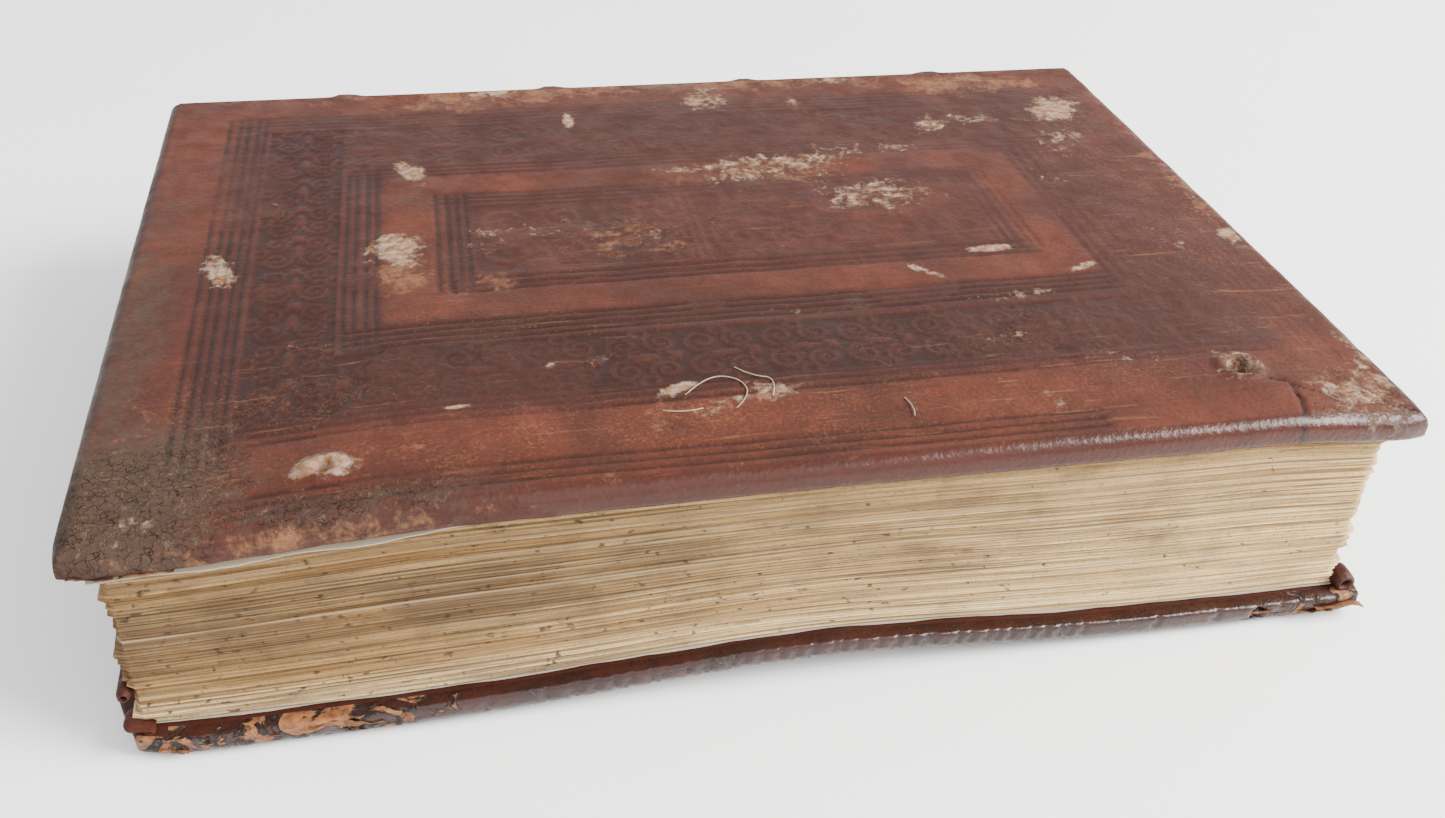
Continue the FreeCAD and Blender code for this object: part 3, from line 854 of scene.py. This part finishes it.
for number, row in enumerate(scraps):
    scrap(number, *row)
for number, (body, x, inset, z, radius, half) in enumerate(rolls):
    roll = addMesh("rolledLeather" + str(number), bpy.ops.mesh.primitive_torus_add, major_segments=28,
                   minor_segments=14, major_radius=ringPart * mm * radius, minor_radius=tubePart * mm * radius)
    co = places(roll)
    lumpy = 1 + 0.12 * rough(co * 3 + number * 9, 2.0, 350)
    co = np.c_[co[:, 0] * lumpy, co[:, 2] * half / (tubePart * radius), co[:, 1] * lumpy] + (x, foreY + inset + half, 0)
    setPlaces(roll, bend(co + (0, 0, z)))
    outward(roll)
    leatherDone(roll, body, 0.2)
for number, line in enumerate(fibres):
    curve = bpy.data.curves.new("fibre" + str(number), "CURVE")
    curve.dimensions = "3D"
    curve.bevel_depth = fibreRadius * mm
    curve.bevel_resolution = 1
    spline = curve.splines.new("NURBS")
    spline.points.add(len(line) - 1)
    for point, (a, b), lift in zip(spline.points, line, fibreLifts):
        spot = bend(np.array([[a - halfHeight, foreY + b, topZ]]))[0]
        point.co = (*(spot + (0, 0, lift)) * mm, 1)
    spline.use_endpoint_u = True
    spline.order_u = 3
    fibre = addObject("fibre" + str(number), curve)
    selectOnly(fibre)
    bpy.ops.object.convert(target="MESH")
    setMaterials(fibre, linenThread)
    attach(fibre, "upper_cover")
print("scraps and fibres")


# boards: the frame's own shapes, warped like the covers round them

def frameCopy(node, name):
    piece = addObject(name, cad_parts[node].data.copy())
    editMesh(piece)
    bpy.ops.mesh.select_all(action="SELECT")
    bpy.ops.mesh.remove_doubles(threshold=0.01 * mm)
    leaveEdit()
    return piece


for side in ("lower", "upper"):
    node = side + "_board"
    piece = frameCopy(node, "warped_" + node)
    cutAt(piece, 0, np.linspace(-0.9, 0.9, 15) * halfHeight)
    cutAt(piece, 1, np.linspace(foreY + 12, jointY - 8, 9))
    setPlaces(piece, bend(places(piece)))
    setMaterials(piece, beech)
    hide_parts(node)
    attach(piece, side + "_cover")
print("boards")


# the text block: twenty-four gatherings of eight leaves

gatherings = 24
leafSizes = {
    "leaves": 8, "alongCuts": 88, "deepCuts": 7, "groove": 0.2, "gatheringShift": 0.18, "leafShift": 0.2,
    "wave": 0.22, "inset": 0.45, "mostInset": 1.3, "corner": 1.3}


def nodeBox(node):
    return tuple(np.array(corner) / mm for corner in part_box(node))


spineApex = nodeBox("gathering_12")[1][1]
firstTop = nodeBox("gathering_01")[1]
spineSag = spineApex - firstTop[1]
backRadius = ((midZ - firstTop[2]) ** 2 + spineSag ** 2) / (2 * spineSag)
spineY = spineApex - backRadius                       # the spine arc's centre


def backAt(z):
    return spineY + np.sqrt(backRadius ** 2 - (z - midZ) ** 2)


def leafBlock(number, body):
    node, leaves = f"gathering_{number:02d}", leafSizes["leaves"]
    lo, hi = nodeBox(node)
    block = addCube("leaves" + node[-2:], lo, hi)
    cutAcross(block, 0, leafSizes["alongCuts"])
    cutAcross(block, 1, leafSizes["deepCuts"])
    cutAcross(block, 2, 2 * leaves - 1)
    setMaterials(block, leafEdge, leafPaper)
    for face in block.data.polygons:
        face.material_index = int(abs(face.normal.z) > 0.7)
    co = places(block)
    thick = hi[2] - lo[2]
    row = np.rint((co[:, 2] - lo[2]) / thick * 2 * leaves).astype(int)
    leaf = np.clip(row // 2, 0, leaves - 1)
    between = row % 2 == 0
    dice = np.random.default_rng(700 + number)
    shift = dice.normal(0, leafSizes["gatheringShift"]) + dice.normal(0, leafSizes["leafShift"], leaves)[leaf]
    height = lo[2] + thick * (leaf + 0.5) / leaves
    wave = leafSizes["wave"] * rough(np.c_[co[:, 0] + co[:, 1], height * 40], (26, 20), 90, 3)
    inset = np.clip(leafSizes["inset"] + shift + wave, 0.05, leafSizes["mostInset"]) + leafSizes["groove"] * between
    fore, back = co[:, 1] < lo[1] + 0.01, co[:, 1] > hi[1] - 0.01
    ends = np.abs(co[:, 0]) > hi[0] - 0.01
    corner = leafSizes["corner"] * (0.6 + 0.4 * latticeNoise(np.c_[height * 3, co[:, 0]], 5, 17)) * (fore & ends)
    co[:, 1] += np.where(fore, inset + corner, 0)
    co[:, 0] -= np.where(ends, np.sign(co[:, 0]) * (inset + corner), 0)
    co[:, 1] = np.where(back, backAt(co[:, 2]) - 0.02 - 0.1 * between, co[:, 1])
    flat = block.data.attributes.new("flatPlace", "FLOAT_VECTOR", "POINT")
    flat.data.foreach_set("vector", (co * mm).astype(np.float32).ravel())
    setPlaces(block, bend(co))
    smooth(block, 30)
    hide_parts(node)
    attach(block, body)


for number in range(1, gatherings + 1):
    leafBlock(number, "lower_half" if number <= gatherings / 2 else "upper_half")
print("gatherings")


# endpapers: a pastedown and a flyleaf at each end, and the folds that join them

paperSizes = {
    "deckle": 0.5, "droop": 2.1, "reach": 1.5, "curlDepth": 2.6, "sink": 0.45, "foldSegments": 14, "foldThick": 0.15,
    "endMargin": 4.0}


def paperSheet(name, node, cuts=(70, 50)):
    lo, hi = nodeBox(node)
    sheet = addCube(name, lo, hi)
    cutAcross(sheet, 0, cuts[0])
    cutAcross(sheet, 1, cuts[1])
    return sheet, places(sheet), lo, hi


def frayEdges(co, lo, hi, seed, amount):
    edge = amount * (0.5 + 0.5 * rough(co[:, :2], 9, seed))
    co[:, 1] += np.where(co[:, 1] < lo[1] + 0.01, edge, 0)
    co[:, 0] -= np.where(np.abs(co[:, 0]) > hi[0] - 0.01, np.sign(co[:, 0]) * edge, 0)
    return co


def paperDone(sheet, co, node, body):
    setPlaces(sheet, bend(co))
    setMaterials(sheet, endPaper)
    smooth(sheet, 50)
    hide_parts(node)
    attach(sheet, body)


for side, inward in (("lower", 1), ("upper", -1)):
    node = side + "_pastedown"
    sheet, co, lo, hi = paperSheet(side + "Pastedown", node)
    face = topZ - coverDepth if side == "upper" else coverDepth          # the level of the turn-ins
    outerSide = (co[:, 2] - (lo[2] + hi[2]) / 2) * inward < 0
    co[:, 2] = face + np.where(outerSide, 0.0, 0.15) * inward
    window = ease(halfHeight - leatherSizes["turnIn"] - np.abs(co[:, 0]), -0.5, 2.5)
    window = window * ease(co[:, 1] - foreY - leatherSizes["turnIn"], -0.5, 2.5)
    co[:, 2] -= inward * paperSizes["sink"] * window * (1 - 0.25 * latticeNoise(co[:, :2], 12, 61))
    paperDone(sheet, frayEdges(co, lo, hi, 63, paperSizes["deckle"]), node, side + "_cover")
    node = side + "_flyleaf"
    sheet, co, lo, hi = paperSheet(side + "Flyleaf", node, (120, 60))
    co = frayEdges(co, lo, hi, 65, paperSizes["deckle"])
    if side == "upper":          # its fore-edge curls down over the leaves towards one end
        lead = unit((lo[1] - co[:, 1]) / paperSizes["curlDepth"] + 1)
        along = ease(-co[:, 0], 28, 62) * (1 + 0.12 * latticeNoise(co[:, :1], 14, 3))
        co[:, 1] -= lead * paperSizes["reach"] * along
        co[:, 2] -= ease(lead, 0.1, 1) * paperSizes["droop"] * along
    paperDone(sheet, co, node, side + "_flyleaf")


def foldStrip(name, start, end, material):
    # a strip along the book between two bodies, from one edge line (y, z) to another
    reachX = halfHeight - paperSizes["endMargin"]
    strip = addCube(name, (-reachX, 0, 0), (reachX, 1, 1))
    cutAcross(strip, 0, 40)
    cutAcross(strip, 1, paperSizes["foldSegments"])
    co = places(strip)
    t, side = co[:, 1].copy(), co[:, 2].copy()
    start, end = np.array(start, float), np.array(end, float)
    way = (end - start) / np.linalg.norm(end - start)
    normal = np.array([-way[1], way[0]])
    co[:, 1:] = start + (end - start) * t[:, None] + normal * paperSizes["foldThick"] * (side - 0.5)[:, None]
    setPlaces(strip, co)
    outward(strip)
    setMaterials(strip, material)
    smooth(strip, 60)
    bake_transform(strip)


for side, inward in (("lower", 1), ("upper", -1)):
    flyLo, flyHi = nodeBox(side + "_flyleaf")
    pasteHi = nodeBox(side + "_pastedown")[1]
    flyZ = (flyLo[2] + flyHi[2]) / 2
    pasteZ = (coverDepth if inward > 0 else topZ - coverDepth) + 0.08 * inward
    foldStrip(side + "PastedownFold", (pasteHi[1] - 0.3, pasteZ), (flyHi[1] + 0.25, flyZ),
              endPaper)
    foldStrip(side + "FlyleafFold", (flyHi[1] - 0.1, flyZ), (flyHi[1] + 1.2, flyZ + 0.2 * inward),
              endPaper)
gutterY = spineApex - 0.4
foldStrip("gutterFold", (gutterY, midZ - 0.12), (gutterY, midZ + 0.12), leafPaper)
print("endpapers")


# the spine: leather over raised cords, with a cap at head and tail

spineSizes = {
    "bandHalf": 2.6, "bandSoft": 1.6, "cap": 2.0, "middleHalf": 2.4, "step": 1.0, "thick": 0.8, "endInset": 0.4,
    "hollow": 0.25, "capDrop": 1.3, "jointAlong": 200, "jointAround": 6}
cordPlaces = (-66.0, -22.0, 22.0, 66.0)
outerRadius = math.hypot(jointY - spineY, midZ)          # the spine leather's outer arc
bandRise = nodeBox("upper_spine_leather")[1][1] - spineY - outerRadius


def spineShell(name, fromZ, toZ):
    # the leather between two heights on the arc, raised over the cords
    ends = halfHeight - spineSizes["endInset"]
    angles = [math.asin((z - midZ) / outerRadius) for z in (fromZ, toZ)]
    shell = addCube(name, (-ends, 0, 0), (ends, 1, 1))
    cutAcross(shell, 0, round(2 * ends / spineSizes["step"]))
    cutAcross(shell, 1, max(3, round(abs(angles[1] - angles[0]) * outerRadius / spineSizes["step"])))
    co = places(shell)
    x, t, out = co[:, 0].copy(), co[:, 1].copy(), co[:, 2].copy()
    angle = angles[0] + (angles[1] - angles[0]) * t
    radius = outerRadius + spineRelief(x, angle * outerRadius) - spineSizes["thick"] * (1 - out)
    setPlaces(shell, np.c_[x, spineY + radius * np.cos(angle), midZ + radius * np.sin(angle)])
    spineFinish(shell, x, angle * outerRadius)
    return shell


def fromCord(x):
    return np.min([np.abs(x - place) for place in cordPlaces], axis=0)


def bandAt(x):
    # one over a raised cord, none between them
    half, soft = spineSizes["bandHalf"], spineSizes["bandSoft"]
    return 1 - ease(fromCord(x), half - soft / 2, half + soft)


def spineRelief(x, arc):
    # how far the leather stands off the smooth arc
    cap = unit(1 - (halfHeight - spineSizes["endInset"] - np.abs(x)) / spineSizes["cap"])
    relief = bandRise * bandAt(x) - spineSizes["hollow"] * (1 - bandAt(x)) - spineSizes["capDrop"] * cap ** 2
    return relief + 0.12 * rough(np.c_[x, arc], 7, 71, 4)


def spineFinish(piece, x, arc):
    worn = unit(0.5 * bandAt(x) + 0.25 * rough(np.c_[x, arc], 12, 76) + 0.4 * ease(np.abs(x), 94, 102))
    store(piece, tan=worn * 0.8, pale=0.35 * worn, grime=0.3, rub=0.55, crack=0.42, tooling=spineTooling(x), tone=0.45)
    outward(piece)
    setMaterials(piece, leather)
    smooth(piece, 60)


def spineTooling(x):
    # pairs of fillets beside each band
    near = np.minimum(np.abs(fromCord(x) - 6.0), np.abs(fromCord(x) - 7.6))
    return unit(1.3 - near / 0.6) * 0.8


edgeZ = midZ + math.sqrt(outerRadius ** 2 - (jointY + jointHalf - spineY) ** 2)
middle = spineSizes["middleHalf"]
for side, fromZ, toZ in (("upper", midZ + middle, edgeZ), ("lower", topZ - edgeZ, midZ - middle)):
    shell = spineShell(side + "SpineLeather", fromZ, toZ)
    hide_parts(side + "_spine_leather")
    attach(shell, side + "_half")
middleShell = spineShell("middleSpineLeather", midZ - middle, midZ + middle)
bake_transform(middleShell)


def jointStrip(name, top, t0, t1):
    # part of the leather over a joint, from the spine's edge (t = 0) to the cover's (t = 1)
    strip = addCube(name, (-1, 0, 0), (1, 1, 1))
    cutAcross(strip, 0, spineSizes["jointAlong"])
    cutAcross(strip, 1, spineSizes["jointAround"])
    co = places(strip)
    t, out = t0 + (t1 - t0) * co[:, 1], co[:, 2]
    knots = np.array([(jointY + jointHalf, edgeZ), (jointY + 0.16, topZ), (jointY - jointHalf, topZ)])
    weights = np.c_[(1 - t) ** 2, 2 * t * (1 - t), t ** 2]
    slope = np.c_[-2 * (1 - t), 2 - 4 * t, 2 * t] @ knots
    normal = np.c_[slope[:, 1], -slope[:, 0]] / np.linalg.norm(slope, axis=1)[:, None]
    x = co[:, 0] * (halfHeight - spineSizes["endInset"] * (1 - t))
    arc = math.asin((edgeZ - midZ) / outerRadius) * outerRadius + 4 * t
    radius = leatherSizes["rimRadius"]
    over = np.clip(np.abs(x) - halfHeight + radius, 0, radius - 0.02)
    fall = (radius - np.sqrt(radius ** 2 - over ** 2)) * ease(t, 0, 1)
    relief = spineRelief(x, arc if top else -arc) * (1 - ease(t, 0, 0.9)) - spineSizes["thick"] * (1 - out)
    section = weights @ knots + normal * relief[:, None]
    section[:, 1] -= fall
    if not top:
        section[:, 1] = topZ - section[:, 1]
    setPlaces(strip, np.c_[x, section])
    spineFinish(strip, x, arc if top else -arc)
    line = [weights[np.argmin(np.abs(t - at))] @ knots for at in (t0, t1)]
    line = [(0, y * mm, (z if top else topZ - z) * mm) for y, z in line]
    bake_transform(strip)


for side, top in (("lower", False), ("upper", True)):
    jointStrip(side + "JointSpineSide", top, 0.0, 0.55)
    jointStrip(side + "JointCoverSide", top, 0.55, 1.0)
print("spine leather")


# the frame's own small pieces: cords, pegs, thread, lining and endbands

bandSizes = {"cutStep": 0.45, "wrapPitch": 0.9, "inset": 0.955, "wrap": 0.035}

for side in ("lower", "upper"):
    for part, material in (("cord_slips", hemp), ("sewing_cords", hemp), ("cord_pegs", beech),
                           ("sewing_thread", linenThread), ("spine_lining", linen)):
        setMaterials(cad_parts[side + "_" + part], material)
        smooth(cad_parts[side + "_" + part], 30)
    for part in ("head_endband", "tail_endband"):
        band = frameCopy(side + "_" + part, side + part.title().replace("_", ""))
        cutAt(band, 2, np.arange(0.5, topZ, bandSizes["cutStep"]))
        co = places(band)
        centre = (co.min(0) + co.max(0)) / 2
        wrap = bandSizes["inset"] + bandSizes["wrap"] * np.sin(co[:, 2] * math.pi / bandSizes["wrapPitch"])
        co = centre + (co - centre) * np.c_[wrap, np.full(len(co), 0.999), np.full(len(co), 0.997)]
        setPlaces(band, co)
        setMaterials(band, silk)
        smooth(band, 50)
        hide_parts(side + "_" + part)
        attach(band, side + "_half")


# the floor, the light and the camera

shot = {"place": (-47.5, foreY - 146.9, 161.8), "yaw": 13.24, "pitch": 35.23, "roll": 2.82, "lens": 34.19}
stageSizes = {              # in metres
    "floor": 6, "floorPlace": (0, 0, -0.0002), "aim": (0, 0, 0.02), "skyColor": (0.96, 0.97, 1.0, 1),
    "skyStrength": 1.35}
lights = (                  # name, place in metres, size, power and colour
    ("windowLight", (1.05, -0.42, 0.80), 0.8, 78, (1.0, 0.985, 0.955)),
    ("roomLight", (-0.1, -1.0, 0.75), 1.4, 12, (0.97, 0.98, 1.0)))


def makeCamera():
    camera = addObject("camera", bpy.data.cameras.new("camera"))
    camera.data.lens = shot["lens"]
    camera.data.clip_start = 0.01
    stand = Matrix.Translation(Vector(shot["place"]) * mm)
    for angle, axis in ((-shot["yaw"], "Z"), (90 - shot["pitch"], "X"), (shot["roll"], "Z")):
        stand = stand @ Matrix.Rotation(math.radians(angle), 4, axis)
    camera.matrix_world = stand
    bpy.context.scene.camera = camera


def softBox(name, place, size, power, color):
    # a square light aimed at the book
    light = addObject(name, bpy.data.lights.new(name, "AREA"))
    light.data.energy = power
    light.data.color = color
    light.data.size = size
    light.location = place
    light.rotation_euler = (Vector(stageSizes["aim"]) - Vector(place)).to_track_quat("-Z", "Y").to_euler()


def makeStage():
    floor = addMesh("floor", bpy.ops.mesh.primitive_plane_add, size=stageSizes["floor"],
                    location=stageSizes["floorPlace"])
    s = Shader("paleTable", 0.5)
    s.color = s.mix(s.span(s.noise(120, 3), 0.3, 0.7), (0.93, 0.93, 0.925), (0.95, 0.95, 0.945))
    s.bump(s.noise(1.5, 3), 0.02)
    setMaterials(floor, s.done())


makeStage()
makeCamera()
for row in lights:
    softBox(*row)
world = bpy.context.scene.world or bpy.data.worlds.new("world")
bpy.context.scene.world = world
world.use_nodes = True
sky = world.node_tree.nodes["Background"].inputs
sky["Color"].default_value = stageSizes["skyColor"]
sky["Strength"].default_value = stageSizes["skyStrength"]
print("stage made")
